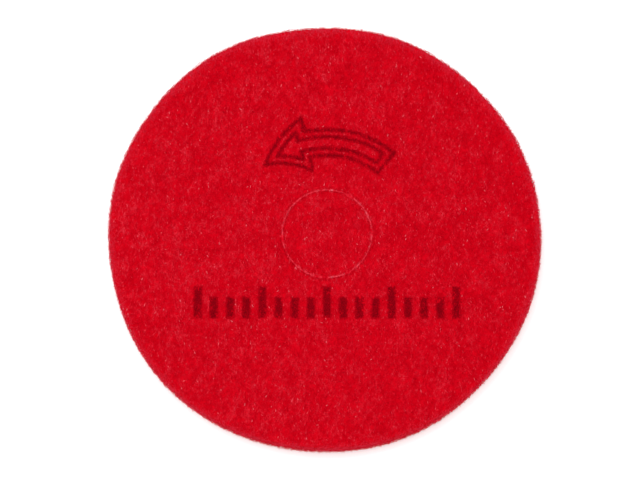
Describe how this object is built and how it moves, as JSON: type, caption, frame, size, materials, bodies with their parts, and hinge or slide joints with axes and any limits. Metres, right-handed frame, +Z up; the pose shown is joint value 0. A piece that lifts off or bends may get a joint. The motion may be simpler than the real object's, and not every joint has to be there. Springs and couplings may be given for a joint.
{
  "type": "floor pad",
  "caption": "Thick round pad of open nonwoven web for a rotary floor machine, with a knock-out centre that lifts out to clear the driver's boss.",
  "frame": {"origin": "centre of the pad's outline, on the face that lies on the floor", "axes": "+Z up through the pad's thickness, +Y towards the print's top, +X to the print's right"},
  "size_m": [0.406, 0.406, 0.025],
  "materials": {
    "pad_web": "open, lofty nonwoven web of coarse red fibres bonded with red resin, matt, with a darker plain print",
    "plug_web": "the same web as the pad, cut free round its side"
  },
  "bodies": {
    "pad": {"pad_ring": "pad_web"},
    "plug": {"centre_plug": "plug_web"}
  },
  "joints": [
    {"name": "plug_lift", "type": "slide", "parent": "pad", "child": "plug", "axis": [0, 0, 1], "range_m": [0, 0.04]}
  ]
}
